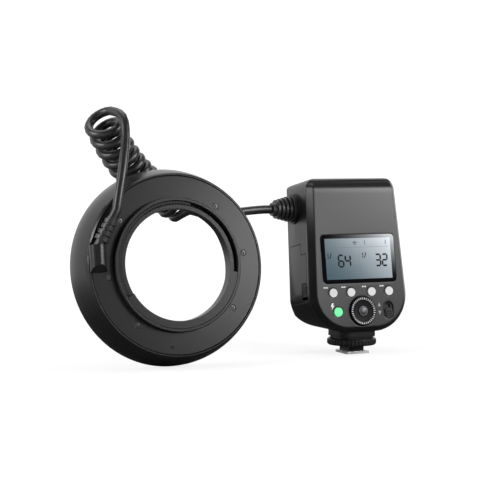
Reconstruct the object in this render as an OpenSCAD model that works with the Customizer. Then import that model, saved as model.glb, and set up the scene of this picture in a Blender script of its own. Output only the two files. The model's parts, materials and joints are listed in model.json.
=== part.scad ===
// Macro ring flash: a hot-shoe controller and a ring-shaped flash head joined by a curly cord.
// The controller's display side and the ring's rear side both face -Y. Units are millimetres.

/* [Controller body] */
// Widest half of the body, low down
body_hw = 41.5; // [37:0.5:46]
// Half width of the body at its top
top_hw = 38.1; // [35:0.1:41]
// Depth of the body, display side to front
body_d = 48.5; // [45:0.5:54]
// Height of the body above the middle of the display
body_top = 62.6; // [58:0.1:70]
// Height of the body below the middle of the display
body_bottom = 56; // [54:0.5:62]
// Wall of the controller's shells
wall = 2.2; // [1.6:0.1:2.6]
// Lean of the display side away from the user
panel_lean = 9.5; // [4:0.5:14]
// Height of the middle of the display above the shoe
panel_z = 72.7; // [70:0.1:80]
// Depth at which the two shells part
shell_split = 7; // [6.5:0.1:7.5]

/* [Display and controls] */
// Width of the display lens
lens_w = 62.6; // [56:0.2:64]
// Height of the display lens
lens_h = 36.6; // [32:0.2:38]
// Thickness of the display lens
lens_t = 1.4; // [1:0.1:1.6]
// Radius of a push button
button_r = 3.3; // [2.6:0.1:3.6]
// Travel of a push button
button_travel = 0.6; // [0.4:0.1:0.8]
// Height of the button row below the display's middle
button_row = 25.5; // [25:0.1:26.5]
// Height of the dial row below the display's middle
dial_row = 40; // [39.5:0.1:41]
// Radius of the dial
dial_r = 11; // [9.5:0.1:11.4]
// Radius of the button in the dial's middle
set_r = 3.6; // [3:0.1:4]
// Travel of the power switch
switch_travel = 4.5; // [3:0.1:5]
// Gap round the controls
control_gap = 0.3; // [0.2:0.05:0.4]

/* [Battery] */
// Depth of the battery's rear side
battery_y = 8.2; // [8.2:0.1:10]
// Thickness of the battery
battery_t = 28; // [24:0.5:28]
// Height of the battery
battery_h = 44; // [38:0.5:44.5]
// Length of the battery
battery_l = 44; // [38:0.5:46]
// Gap round the battery in its bay
battery_gap = 0.35; // [0.2:0.05:0.5]

/* [Shoe foot] */
// Width of the shoe plate
shoe_w = 18.6; // [18.4:0.1:18.7]
// Length of the shoe plate
shoe_l = 21.8; // [18:0.1:23]
// Thickness of the shoe plate
shoe_t = 2; // [1.8:0.1:2.1]
// Height of the foot under the lock wheel
foot_h = 6.4; // [5.5:0.1:7]
// Radius of the lock wheel
wheel_r = 18.8; // [16:0.1:20]
// Height of the lock wheel
wheel_h = 5; // [4:0.1:5.5]
// Radius of the post that the lock wheel turns on
post_r = 6; // [5:0.1:6]

/* [Ring head] */
// Radius of the ring at its rear edge
ring_back_r = 65.7; // [64:0.1:68]
// Radius of the ring at its widest
ring_rim_r = 70.8; // [69:0.1:74]
// Depth from the rear face to the widest rim
rim_depth = 23.7; // [20:0.1:24.5]
// Depth from the rear face to the front face
ring_depth = 27.5; // [27:0.1:30]
// Wall of the ring's shells
ring_wall = 1.8; // [1.4:0.1:2]
// Radius of the light well inside the ring
well_r = 49; // [48.6:0.1:49.4]
// Radius of the lens adapter's seat
seat_r = 39.7; // [38.8:0.1:40.2]
// Radius of the collar round the seat
collar_r = 47.6; // [47.2:0.1:48]
// Height of the collar above the rear face
collar_h = 4; // [3:0.1:5]
// Lean of the ring away from the user
ring_tilt = 8.4; // [4:0.2:12]
// Radius of the circle of rear screws
screw_pcd_r = 52; // [51.6:0.1:52.6]

/* [Cord] */
// Diameter of the cord
cord_d = 6; // [5:0.1:6.2]
// Radius of the curls, to the middle of the cord
curl_r = 11; // [9:0.1:12]
// Turns of the curly part
curls = 11.75; // [8.75:1:11.75]

/* [Hidden] */
$fn = 64;
eps = 0.05;
fit = 0.1;

// Place of the display's middle, on the shoe's frame
panel_y = -10.7;
back_top_r = 9;
front_top_r = 12;
front_low_r = 8;
low_r = 30;
top_r = 9;
bevel_w = 4.1;
bevel_d = 5;
crease_d = 26;
facet_in = 1.5;
facet_d = 41;
front_inset = 9;
side_taper = atan((body_hw - top_hw) / (body_top - top_r + body_bottom - low_r));
front_low_z = (body_d - front_low_r) * tan(panel_lean) + front_low_r / cos(panel_lean) - body_bottom;

lens_recess = 1.2;
window_frame = 3;
module_d = 4;
button_proud = 0.9;
button_x = [-23.9, -8.8, 8.8, 23.9];
test_x = -20.7;
flange_t = 0.9;
keypad_y = wall + flange_t + button_travel + 1.1;
board_t = 1.6;
dial_hole_r = dial_r + control_gap;
hub_r = 5.2;
dial_proud = 1.8;
dial_teeth = 48;
switch_x = 22.6;
slot_hw = 4.1;
slot_h = 13;
slot_depth = 1.2;
stem_hw = 1.3;
stem_inset = 2;
skirt_hw = 2.5;
skirt_t = 0.8;
skirt_over = 0.9;
knob_h = slot_h - switch_travel - 2 * control_gap;

battery_z = -30.7;
battery_top = battery_z + battery_h;
battery_left = -body_hw;
step_h = 8;
step_d = 9;
latch_y = battery_y + 0.6;
latch_w = 8;
latch_h = 10;
latch_top = battery_z + 13.8;
latch_travel = 2.5;
latch_depth = 3;
bay_wall = 1.2;
strip_low = 9.2;
strip_step = 8;
strip_in = 15.8;
strip_l = 4;
strip_w = 3;

relief_y = 27;
relief_z = 42;
boss_r = 11.6;
boss_proud = 2.2;
relief_ribs = 5;
relief_len = 17;
relief_tip_r = 7.2;
relief_root_r = 10.4;

port_y = 15.5;
port_z = 22;
port_w = 15;
port_h = 24;
port_lip = 1.4;
hinge_r = 0.9;
hinge_out = 1;
pin_reach = 1;
port_gap = 0.5;

board_gap = 3;
board_x = battery_left + battery_l + battery_gap + bay_wall + board_gap;
board_back = shell_split + 6;
board_front = body_d - 7.5;
board_low = -38;
board_top = 40;
keypad_margin = 6.75;
keypad_r = 6;
keypad_w = 2 * (button_x[3] + button_r + 0.8);
screw_x = 24;
screw_z = 48;
screw_head_y = 16;
post_x = 16.35;
low_post_z = 48;
cap_r = 8.6;
cap_x = (board_x + board_t + body_hw - wall) / 2;
cap_y = 26;
cap_low = -35;
cap_top = port_z - port_h / 2 - 3;
coil_len = 16;
coil_w = 18;
coil_y = 18;
coil_z = battery_top + 10.7;
coil_h = 14;
bobbin_t = 2;

body_z = panel_z - body_bottom * cos(panel_lean);
neck_w = 28;
neck_l = 26;
neck_r = 6;
wheel_z = foot_h + fit;
neck_z = wheel_z + wheel_h + fit;
rail_w = 12.4;
rail_l = 18;
contact_x = [-3.3, -1.1, 1.1, 3.3];
contact_y = 2.8;
contact_r = 0.7;
main_contact_r = 1.7;
contact_h = 3.9;
pin_r = 1.1;
pin_y = 7.4;

ring_x = -157;
ring_y = -32.3;
rim_band = 1.6;
ring_z = ring_rim_r * cos(ring_tilt) + (rim_depth + rim_band) * sin(ring_tilt);
cover_t = 2.2;
cover_r = ring_back_r - ring_wall - 0.2;
lip_h = 2.6;
lip_base = -5;
channel_in = 42.6;
channel_out = 45.3;
band_in = channel_out + 0.15;
channel_floor = -3.5;
channel_from = -8;
channel_to = 208;
lock_from = 75;
lock_to = 207.5;
lock_gap = 0.25;
lock_teeth = 16;
flange_r = 55;
screw_angles = [8, 52, 142, 188, 232, 322];
web_top = -13;
web_t = 2;
floor_z = web_top - web_t;
trough_in = well_r + ring_wall + 0.2;
trough_out = ring_rim_r - ring_wall - 1.4;
trough_w = trough_out - trough_in;
tube_r = 2.6;
sleeve_r = tube_r + 0.6;
trough_slope = trough_w / 2 - sleeve_r - 1.4;
tube_ring_r = (trough_in + trough_out) / 2;
tube_z = floor_z - 0.8 - 4.6;
tube_gap = 14;
diffuser_t = 1.8;
diffuser_z = -ring_depth + 0.4;
post_ring_r = cover_r - 3.7;
board_out = cover_r - 0.7;
board_in = screw_pcd_r + 3.4;
trigger = [6, 12, 4.6];
ring_board_z = -9.6;

socket_x = 6.9 - ring_back_r;
socket_r = 6;
socket_z = 0.6;
socket_from = 1.5;
socket_to = 15.5;
ring_relief_turn = -28.5;
ring_relief_rise = 8;
ring_relief_len = 21;
ring_relief_r = 5.2;
ring_relief_z = 3;
ring_relief_ribs = 4;
relief_root = 3;

cord_sides = 10;
curl_sides = 6;
curl_rings = 8;
lead_steps = 4;
end_phase = 225;

// Middle line of the curly part, as the three points of a quadratic curve
coil_from = [-131, 25, 114.5];
coil_bend = [-172, 27, 130];
coil_to = [-199.5, 6, 177];

// Points of the straight leads, chosen along the cord as it hangs
controller_lead_points = [
    [-78, 20.5, 109], [-95, 15, 107.5], [-110, 9, 107], [-121, 5.5, 108], [-129.5, 4, 110]];
ring_lead_points = [[-200, -31, 124], [-195.7, -26.5, 138], [-192, -21, 152], [-188.5, -14.5, 163]];

plastic = "#26282b";
dark = "#17181a";
grey = "#8b8f93";
metal = "#c3c6c9";
board_green = "#2d5b3c";
lamp_glass = "#dfe6ea";

function arc(c, r, from, to, n) =
    [for (i = [0:n]) let(a = from + (to - from) * i / n) c + r * [cos(a), sin(a)]];
function mirrored(points) = [for (i = [len(points) - 1:-1:0]) [-points[i][0], points[i][1]]];
function unit(v) = v / norm(v);

// Outline of the body seen from the display side, inset by i
function face_half(i) = concat(
    arc([body_hw - low_r, low_r - body_bottom], low_r - i, -90, 0, 14),
    arc([top_hw - top_r, body_top - top_r], top_r - i, 0, 90, 8));
function face_outline(i) = concat(face_half(i), mirrored(face_half(i)));

// Rounded lower end of the body, seen level from behind, inset by i
function low_half(i) = concat(
    arc([body_hw - low_r, low_r - body_bottom * cos(panel_lean)], low_r - i, -90, 0, 14),
    [[body_hw - i, 2 * body_top]]);
function low_outline(i) = concat(low_half(i), mirrored(low_half(i)));

// Side profile of the body as depth and height, inset by i
function side_outline(i) = concat(
    [[i, -2 * body_bottom], [body_d / 2, -2 * body_bottom]],
    arc([body_d - front_low_r, front_low_z], front_low_r - i, panel_lean - 90, 0, 8),
    arc([body_d - front_top_r, body_top - front_top_r], front_top_r - i, 0, 90, 8),
    arc([back_top_r, body_top - back_top_r], back_top_r - i, 90, 180, 8));

// Plan of one side beyond its crease, out from the side's face and along the depth, inset by i
function facet_x(y) = -facet_in * (y - crease_d) / (facet_d - crease_d);
function side_plan(i) = [
    [facet_x(-1) - i, -1], [-facet_in - i, facet_d], [-front_inset - i, body_d], [-3 * body_hw, body_d],
    [-3 * body_hw, -1]
];

module on_panel() {
    translate([0, panel_y, panel_z]) rotate([-panel_lean, 0, 0]) children();
}
module face_extrude(from, to) {
    translate([0, to, 0]) rotate([90, 0, 0]) linear_extrude(to - from) children();
}
module inward(x, y, z) {
    translate([x, y, z]) rotate([-90, 0, 0]) children();
}
module leftward(x, y, z) {
    translate([x, y, z]) rotate([0, -90, 0]) children();
}
module block(from, to) {
    translate(from) cube(to - from);
}
module rounded_rect(w, h, r) {
    polygon(concat(
        arc([w / 2 - r, r - h / 2], r, -90, 0, 6),
        arc([w / 2 - r, h / 2 - r], r, 0, 90, 6),
        arc([r - w / 2, h / 2 - r], r, 90, 180, 6),
        arc([r - w / 2, r - h / 2], r, 180, 270, 6)));
}

// Frame of the right side: x out of its face, z along its taper
module on_side() {
    translate([body_hw, 0, low_r - body_bottom]) rotate([0, -side_taper, 0]) children();
}
module side_cut(i) {
    on_side() linear_extrude(4 * body_top, center = true) polygon(side_plan(i));
}
// Solid of the body's outer form, inset by i: a ridge bevelled all round the display side, sides that
// taper to the top and turn in beyond a crease, and a level bottom
module body_form(i) {
    slice = 0.01;
    intersection() {
        hull() {
            face_extrude(i, i + slice) polygon(face_outline(bevel_w + 0.7 * i));
            face_extrude(bevel_d + 0.3 * i, body_d) polygon(face_outline(i));
        }
        rotate([panel_lean, 0, 0]) face_extrude(-2 * body_d, 3 * body_d) polygon(low_outline(i));
        rotate([90, 0, 90]) linear_extrude(4 * body_hw, center = true) polygon(side_outline(i));
        side_cut(i);
        mirror([1, 0, 0]) side_cut(i);
    }
}
module battery_space(gap) {
    difference() {
        block([battery_left - 1, battery_y - gap, battery_z - gap],
              [battery_left + battery_l + gap, battery_y + battery_t + gap, battery_top + gap]);
        block([battery_left - 2, battery_y - 2, battery_top - step_h + gap],
              [battery_left + battery_l + 2, battery_y + step_d - gap, battery_top + 2]);
    }
}
module stadium_slot(hw, h) {
    rounded_rect(2 * hw, h, hw);
}

// Shells of the controller

module rear_shell() {
    color(plastic) on_panel() difference() {
        intersection() {
            body_form(0);
            block([-2 * body_hw, -1, -2 * body_bottom], [2 * body_hw, shell_split, 2 * body_top]);
        }
        difference() {
            body_form(wall);
            shell_screw_places() cylinder(r = 3.6, h = 2 * shell_split);
            for (x = [-post_x, post_x], z = [-button_row, -low_post_z])
                inward(x, 0, z) cylinder(r = 1.8, h = keypad_y);
        }
        face_extrude(-1, lens_recess) rounded_rect(lens_w + 2 * fit, lens_h + 2 * fit, 3);
        face_extrude(0, 2 * wall) rounded_rect(lens_w - 2 * window_frame, lens_h - 2 * window_frame, 1.5);
        for (x = button_x) inward(x, -1, -button_row) cylinder(r = button_r + control_gap, h = 2 * wall);
        inward(test_x, -1, -dial_row) cylinder(r = button_r + control_gap, h = 2 * wall);
        inward(0, -1, -dial_row) cylinder(r = dial_hole_r, h = 2 * wall);
        translate([switch_x, 0, -dial_row]) {
            face_extrude(-1, slot_depth) stadium_slot(slot_hw, slot_h);
            face_extrude(0, 2 * wall) stadium_slot(slot_hw - 2, slot_h - 3);
        }
        shell_screw_places() translate([0, 0, wall]) cylinder(r = 1.15, h = 4 * shell_split);
    }
}

module front_shell() {
    color(plastic) on_panel() difference() {
        union() {
            difference() {
                intersection() {
                    body_form(0);
                    block([-2 * body_hw, shell_split, -2 * body_bottom],
                          [2 * body_hw, 2 * body_d, 2 * body_top]);
                }
                body_form(wall);
            }
            leftward(3 - top_hw, relief_y, relief_z) cylinder(r = boss_r, h = 3 + boss_proud);
            intersection() {
                body_form(wall / 2);
                union() {
                    shell_screw_places() translate([0, 0, shell_split]) cylinder(r = 3.6, h = body_d);
                    for (z = [-36, 26])
                        block([board_x - 1.4, board_front, z], [board_x + board_t + 1.4, body_d, z + 10]);
                }
            }
        }
        battery_space(battery_gap);
        leftward(4 - top_hw, relief_y, relief_z) cylinder(r = relief_tip_r + fit, h = 20);
        on_side() {
            block([-wall - port_lip, port_y - port_w / 2 - port_gap, port_s - port_h / 2 - port_gap],
                  [wall, port_y + port_w / 2 + port_gap, port_s + port_h / 2 + port_gap]);
            port_hinge(hinge_r - 0.2 + eps, pin_reach + fit);
        }
        shell_screw_places() {
            translate([0, 0, screw_head_y]) cylinder(r = 2.6, h = body_d);
            cylinder(r = 1.3, h = body_d);
        }
    }
}

// Two screws in the top corners hold the shells together
module shell_screw_places() {
    for (x = [-screw_x, screw_x]) inward(x, 0, screw_z) children();
}
module shell_screws() {
    color(metal) on_panel() shell_screw_places() {
        translate([0, 0, wall + 1]) cylinder(r = 1.1, h = screw_head_y - wall - 0.5);
        translate([0, 0, screw_head_y]) cylinder(r = 2.4, h = 2);
    }
}

module display_lens() {
    color("#0c0e12") on_panel() face_extrude(lens_recess - lens_t, lens_recess)
        rounded_rect(lens_w, lens_h, 3);
}
module display_module() {
    color("#7d93a8") on_panel() face_extrude(lens_recess + fit, wall + module_d)
        rounded_rect(lens_w - 2 * window_frame - 2 * fit, lens_h - 2 * window_frame - 2 * fit, 1.2);
}
module keypad_board() {
    color(board_green) on_panel() difference() {
        face_extrude(keypad_y, keypad_y + board_t) translate([0, -(button_row + dial_row) / 2 - 1.25])
            rounded_rect(keypad_w, dial_row - button_row + 2 * keypad_margin, keypad_r);
        inward(0, 0, -dial_row) cylinder(r = hub_r + 1, h = 20);
    }
}

// Controls on the display side

module push_button(x, z, tint) {
    color(tint) on_panel() {
        inward(x, -button_proud, z) cylinder(r = button_r, h = button_proud + wall + fit + flange_t);
        inward(x, wall + fit, z) cylinder(r = button_r + 1, h = flange_t);
    }
}
module function_button_1() { push_button(button_x[0], -button_row, grey); }
module function_button_2() { push_button(button_x[1], -button_row, grey); }
module function_button_3() { push_button(button_x[2], -button_row, grey); }
module function_button_4() { push_button(button_x[3], -button_row, grey); }
module test_button() { push_button(test_x, -dial_row, "#2fb24c"); }

// The dial turns on the encoder's hub and has a dished face with a toothed rim
module dial() {
    tooth = 0.5;
    color(dark) on_panel() inward(0, -dial_proud, -dial_row) difference() {
        intersection() {
            linear_extrude(dial_proud + wall + 1) polygon([
                for (i = [0:2 * dial_teeth - 1])
                    let(a = 180 * i / dial_teeth, r = dial_r - (i % 2) * tooth) r * [cos(a), sin(a)]]);
            rotate_extrude() polygon([
                [0, 0.9], [hub_r, 0.9], [dial_r - 2.6, 0.5], [dial_r - 1.6, 0], [dial_r - 0.8, 0],
                [dial_r + 1, 1.8], [dial_r + 1, dial_proud + wall + 2], [0, dial_proud + wall + 2]]);
        }
        translate([0, 0, -1]) cylinder(r = set_r + control_gap, h = 20);
        translate([0, 0, dial_proud + 0.6]) cylinder(r = hub_r + eps, h = 20);
    }
}
module dial_encoder() {
    color(grey) on_panel() difference() {
        union() {
            inward(0, 0.7, -dial_row) cylinder(r = hub_r, h = keypad_y + board_t - 0.7);
            face_extrude(keypad_y + board_t, keypad_y + board_t + 4) translate([0, -dial_row])
                square(14, center = true);
        }
        inward(0, -1, -dial_row) cylinder(r = set_r + control_gap, h = 5.2 + button_travel);
    }
}
module set_button() {
    color(grey) on_panel() inward(0, -dial_proud + 0.2, -dial_row) cylinder(r = set_r, h = dial_proud + 3.4);
}

// The power switch slides along its recess on a stem through the shell
module power_switch() {
    low = -slot_h / 2 + control_gap;
    stem_low = low + stem_inset;
    stem_top = low + knob_h - stem_inset;
    color(dark) on_panel() translate([switch_x, 0, -dial_row]) {
        face_extrude(-0.2, slot_depth - fit) translate([0, low + knob_h / 2])
            stadium_slot(slot_hw - control_gap, knob_h);
        for (k = [-1, 0, 1])
            block([-2.8, -1, low + knob_h / 2 + 1.6 * k - 0.4], [2.8, 0, low + knob_h / 2 + 1.6 * k + 0.4]);
        block([-stem_hw, 0, stem_low], [stem_hw, wall + skirt_t + 2 * fit, stem_top]);
        block([-skirt_hw, wall + fit, stem_low - skirt_over], [skirt_hw, wall + fit + skirt_t,
              stem_top + switch_travel + skirt_over]);
    }
}

// Inside the controller

module main_board() {
    color(board_green) on_panel()
        block([board_x, board_back, board_low], [board_x + board_t, board_front, board_top]);
}
module flash_capacitor() {
    h = cap_top - cap_low;
    color("#3a3f4a") on_panel() translate([cap_x, cap_y, cap_low]) {
        cylinder(r = cap_r, h = h - 1);
        translate([0, 0, h - 1 - eps]) cylinder(r = cap_r - 0.8, h = 1 + eps);
        block([board_x + board_t - cap_x, -3, h / 2 - 3], [0, 3, h / 2 + 3]);
    }
}
module charge_transformer() {
    color("#54504a") on_panel() translate([board_x - coil_len, coil_y, coil_z]) {
        block([0, 0, 0], [coil_len, coil_w, bobbin_t]);
        block([bobbin_t, bobbin_t, bobbin_t], [coil_len - bobbin_t, coil_w - bobbin_t, coil_h - bobbin_t]);
        block([0, 0, coil_h - bobbin_t], [coil_len, coil_w, coil_h]);
    }
}
// Sleeve that the battery slides in, open to the left
module battery_bay() {
    color(dark) on_panel() intersection() {
        difference() {
            battery_space(battery_gap + bay_wall);
            battery_space(battery_gap);
        }
        body_form(wall);
    }
}
module battery_contacts() {
    color("#c9a24a") on_panel() for (k = [0:3])
        translate([battery_left + battery_l, battery_y, battery_z + strip_low + strip_step * k])
            block([fit, strip_in, 0], [battery_gap, strip_in + strip_l, strip_w]);
}
module battery() {
    color(plastic) on_panel() difference() {
        intersection() {
            body_form(0);
            battery_space(0);
        }
        block([-2 * body_hw, latch_y - control_gap, latch_top - latch_h - latch_travel - control_gap],
              [battery_left + latch_depth + control_gap, latch_y + latch_w + control_gap,
               latch_top + control_gap]);
    }
}
// Sliding catch on the battery's outer end
module battery_latch() {
    color(dark) on_panel() {
        block([battery_left + 0.4, latch_y, latch_top - latch_h],
              [battery_left + latch_depth, latch_y + latch_w, latch_top]);
        for (k = [0:3])
            block([battery_left - 0.1, latch_y + 1, latch_top - 3 - 1.6 * k],
                  [battery_left + 0.4, latch_y + latch_w - 1, latch_top - 2.2 - 1.6 * k]);
    }
}
// Right side: two sockets behind a hinged rubber cover
function right_wall(z) =
    body_hw + (top_hw - body_hw) * (z - low_r + body_bottom) / (body_top - top_r - low_r + body_bottom);
cover_inner = right_wall(port_z + port_h / 2) - wall;
module port_block() {
    inner = cover_inner - port_lip;
    color("#3c4046") on_panel() difference() {
        block([board_x + board_t, port_y - port_w / 2 - 1.2, port_z - port_h / 2 - 1.2],
              [inner, port_y + port_w / 2 + 1.2, port_z + port_h / 2 + 1.2]);
        block([inner - 5, port_y - 1.7, port_z - 8.5], [inner + 1, port_y + 1.7, port_z + 0.5]);
        leftward(inner + 1, port_y, port_z + 6.5) cylinder(r = 1.8, h = 9);
    }
}
// Places on the right side, along its taper
port_s = (port_z - low_r + body_bottom) / cos(side_taper);
hinge_y = port_y + port_w / 2 - hinge_r;
module port_hinge(r, reach) {
    translate([-hinge_out, hinge_y, port_s - port_h / 2 - reach]) cylinder(r = r, h = port_h + 2 * reach);
}
module port_cover() {
    color("#1b1c1e") on_panel() on_side() {
        block([-wall, port_y - port_w / 2, port_s - port_h / 2], [0, hinge_y, port_s + port_h / 2]);
        port_hinge(hinge_r, 0);
        port_hinge(hinge_r - 0.2, pin_reach);
    }
}

// Cable boot of the controller: a flange, ribs on a core and a tapered outline
module controller_strain_relief() {
    step = (relief_len - 2) / relief_ribs;
    color(dark) on_panel() leftward(-top_hw - boss_proud, relief_y, relief_z) rotate_extrude() {
        translate([0, -4]) square([relief_tip_r, 4 + eps]);
        polygon([
            [0, 0], [relief_root_r - 2.6, 0], [relief_tip_r - 2.2, relief_len - 1],
            [relief_tip_r - 2.2, relief_len], [0, relief_len]]);
        for (k = [0:relief_ribs - 1]) {
            rib = relief_root_r + (relief_tip_r - relief_root_r) * k / (relief_ribs - 1);
            translate([0, k * step]) square([rib, step - 1.1]);
        }
    }
}

// Foot

module foot_neck() {
    color(plastic) difference() {
        union() {
            translate([0, 0, neck_z]) linear_extrude(body_z - neck_z) rounded_rect(neck_w, neck_l, neck_r);
            translate([0, 0, neck_z + 1.5]) linear_extrude(body_z - neck_z - 1.5)
                rounded_rect(neck_w + 3, neck_l + 3, neck_r + 1.5);
        }
        cylinder(r = post_r + fit, h = 60);
    }
}
module foot_base() {
    color(dark) difference() {
        union() {
            translate([0, 0, shoe_t]) linear_extrude(foot_h - shoe_t) rounded_rect(rail_w, rail_l, 1.5);
            linear_extrude(shoe_t + eps) rounded_rect(9, 8, 0.8);
            translate([0, 0, foot_h - eps]) cylinder(r = post_r, h = body_z - foot_h + eps);
        }
        for (x = contact_x) translate([x, contact_y, -1])
            cylinder(r = contact_r + eps, h = 1 + contact_h + fit);
        translate([0, 0, -1]) cylinder(r = main_contact_r + eps, h = 1 + contact_h + fit);
        translate([0, pin_y, 0]) cylinder(r = pin_r + eps, h = 60);
    }
}
module shoe_plate() {
    corner = 2.5;
    hw = shoe_w / 2;
    hl = shoe_l / 2;
    color(metal) difference() {
        linear_extrude(shoe_t) polygon([
            [-hw, -hl], [hw, -hl], [hw, hl - corner], [hw - corner, hl], [corner - hw, hl],
            [-hw, hl - corner]]);
        translate([0, 0, -1]) linear_extrude(9) rounded_rect(9 + 2 * fit, 8 + 2 * fit, 0.8);
        translate([0, pin_y, -1]) cylinder(r = pin_r + eps, h = 9);
    }
}
module contact_pins() {
    color("#d6b25a") {
        for (x = contact_x) translate([x, contact_y, 0]) cylinder(r = contact_r, h = contact_h);
        cylinder(r = main_contact_r, h = contact_h);
    }
}
// Knurled wheel, with a chamfer at both edges
module lock_wheel() {
    grooves = 40;
    chamfer = 1;
    color(plastic) translate([0, 0, wheel_z]) difference() {
        intersection() {
            linear_extrude(wheel_h) polygon([
                for (i = [0:2 * grooves - 1])
                    let(a = 180 * i / grooves, r = wheel_r - (i % 2 == 0 ? 0 : 0.5)) r * [cos(a), sin(a)]]);
            rotate_extrude() polygon([
                [0, -1], [wheel_r - chamfer - 1, -1], [wheel_r + 1, chamfer + 1],
                [wheel_r + 1, wheel_h - chamfer - 1],
                [wheel_r - chamfer - 1, wheel_h + 1], [0, wheel_h + 1]]);
        }
        translate([0, 0, -1]) cylinder(r = post_r + eps, h = 20);
    }
}
module lock_pin() {
    color(metal) translate([0, pin_y, 0.2]) cylinder(r = pin_r, h = foot_h - 0.4);
}

// Ring head, drawn with its rear side up and turned into place

module on_ring() {
    translate([ring_x, ring_y, ring_z]) rotate([90 - ring_tilt, 0, 0]) children();
}
module sector(from, to) {
    rotate([0, 0, from]) rotate_extrude(angle = to - from) children();
}
// Outer wall as radius and height: a swelling curve from the rear edge to the widest rim
function wall_r(u) = ring_back_r + (ring_rim_r - ring_back_r) * sin(90 * u);
function wall_curve(i) = [for (k = [0:8]) [wall_r(k / 8) - i, -0.9 - (rim_depth - 0.9) * k / 8]];

module ring_screw_places() {
    for (a = screw_angles) rotate([0, 0, a]) translate([screw_pcd_r, 0, 0]) children();
}
module cord_pocket(gap) {
    translate([socket_x, socket_from - 5, socket_z]) rotate([-90, 0, 0])
        cylinder(r = socket_r + gap, h = socket_to - socket_from + 5 + gap);
    ring_relief_place() translate([0, 0, -relief_root - gap])
        cylinder(r = ring_relief_r + 0.8 + gap, h = ring_relief_len + relief_root + 8);
}
module ring_relief_place() {
    translate([socket_x + 0.7, socket_to, ring_relief_z]) rotate([0, 0, ring_relief_turn])
        rotate([ring_relief_rise - 90, 0, 0]) children();
}

module ring_housing() {
    color(plastic) on_ring() difference() {
        union() {
            rotate_extrude() polygon(concat(
                [[ring_back_r - 1, 0]], wall_curve(0),
                [[ring_rim_r, -rim_depth - rim_band], [ring_rim_r - 1.2, -ring_depth + 0.6]],
                [[ring_rim_r - 2, -ring_depth]],
                [[ring_rim_r - ring_wall - 1, -ring_depth], [ring_rim_r - ring_wall, -rim_depth - 0.6]],
                [for (k = [8:-1:0]) wall_curve(ring_wall)[k]],
                [[ring_back_r - ring_wall, 0]]));
            rotate_extrude() translate([well_r, -ring_depth]) square([ring_wall, ring_depth + lip_base]);
            rotate_extrude() translate([well_r + eps, floor_z]) square([wall_r(0.55) - well_r - 1, web_t]);
            ring_screw_places() translate([0, 0, web_top - eps])
                cylinder(r = 2.8, h = lip_base - web_top + eps);
            for (a = [30, 120, 210, 300]) rotate([0, 0, a]) translate([post_ring_r, 0, web_top - eps])
                cylinder(r = 2, h = ring_board_z - web_top + eps);
        }
        translate([0, 0, -2 * ring_depth]) cylinder(r = well_r, h = 3 * ring_depth);
        ring_screw_places() translate([0, 0, -10]) cylinder(r = 1.15, h = 12);
        cord_pocket(0.2);
    }
}

module ring_rear_cover() {
    color(plastic) on_ring() difference() {
        rotate_extrude() polygon([
            [collar_r + fit, -cover_t], [cover_r, -cover_t], [cover_r, -0.5], [cover_r - 0.5, 0],
            [collar_r + fit, 0]]);
        ring_screw_places() {
            translate([0, 0, -1.2]) cylinder(r = 2.2, h = 5);
            translate([0, 0, -5]) cylinder(r = 1.3, h = 9);
        }
        cord_pocket(0.2);
    }
}

// Seat of the lens adapter: a lip, a channel for the lock ring and a raised outer band
module mount_collar() {
    color(plastic) on_ring() difference() {
        rotate_extrude() polygon([
            [seat_r, lip_base], [flange_r, lip_base], [flange_r, -cover_t], [collar_r, -cover_t],
            [collar_r, collar_h - 0.5], [collar_r - 0.5, collar_h], [band_in, collar_h], [band_in, lip_h],
            [seat_r, lip_h]]);
        sector(channel_from, channel_to) translate([channel_in, channel_floor])
            square([channel_out - channel_in, 3 * collar_h]);
        ring_screw_places() translate([0, 0, -9]) cylinder(r = 1.3, h = 12);
        cord_pocket(0.2);
    }
}
// Lock ring with a finely toothed inner edge at its top
module adapter_lock_ring() {
    color(dark) on_ring() difference() {
        sector(lock_from, lock_to) translate([channel_in + lock_gap, channel_floor + fit])
            square([channel_out - channel_in - 2 * lock_gap, collar_h - 1 - channel_floor - fit]);
        for (k = [0:lock_teeth - 1]) rotate([0, 0, lock_from + 3 + 3 * k])
            translate([channel_in + lock_gap, 0, collar_h - 1]) cube([1.4, 1.2, 1.6], center = true);
    }
}
module clamp_lip() {
    color(plastic) on_ring() sector(channel_to + 1, 360 + channel_from - 1) translate([seat_r, lip_h])
        square([channel_out - seat_r - fit, collar_h - lip_h]);
}
module reflector() {
    rim_z = diffuser_z + diffuser_t;
    thin = 0.8;
    color(metal) on_ring() rotate_extrude() polygon([
        [trough_in, rim_z], [trough_in + thin, rim_z], [trough_in + trough_slope, floor_z - thin],
        [trough_out - trough_slope, floor_z - thin], [trough_out - thin, rim_z], [trough_out, rim_z],
        [trough_out - 0.88 * trough_slope, floor_z], [trough_in + 0.88 * trough_slope, floor_z]]);
}
module flash_tube(from, to) {
    sleeve = 5;
    color(lamp_glass) on_ring() translate([0, 0, tube_z]) {
        sector(from, to) translate([tube_ring_r, 0]) circle(tube_r);
        for (a = [from, to - sleeve]) sector(a, a + sleeve) translate([tube_ring_r, 0]) {
            circle(sleeve_r);
            translate([-1.5, 0]) square([3, floor_z - 0.8 - tube_z]);
        }
    }
}
module flash_tube_left() { flash_tube(90 + tube_gap, 270 - tube_gap); }
module flash_tube_right() { flash_tube(tube_gap - 90, 90 - tube_gap); }
module focus_lamps() {
    lamp_r = 2.4;
    base_z = floor_z - 0.8;
    color("#f2efdc") on_ring() for (a = [90, 270], s = [-1, 1])
        rotate([0, 0, a + s * 5]) translate([tube_ring_r, 0, base_z - 5]) {
            cylinder(r = lamp_r, h = 5);
            difference() {
                sphere(r = lamp_r);
                translate([0, 0, lamp_r + eps]) cube(2 * lamp_r, center = true);
            }
        }
}
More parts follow.
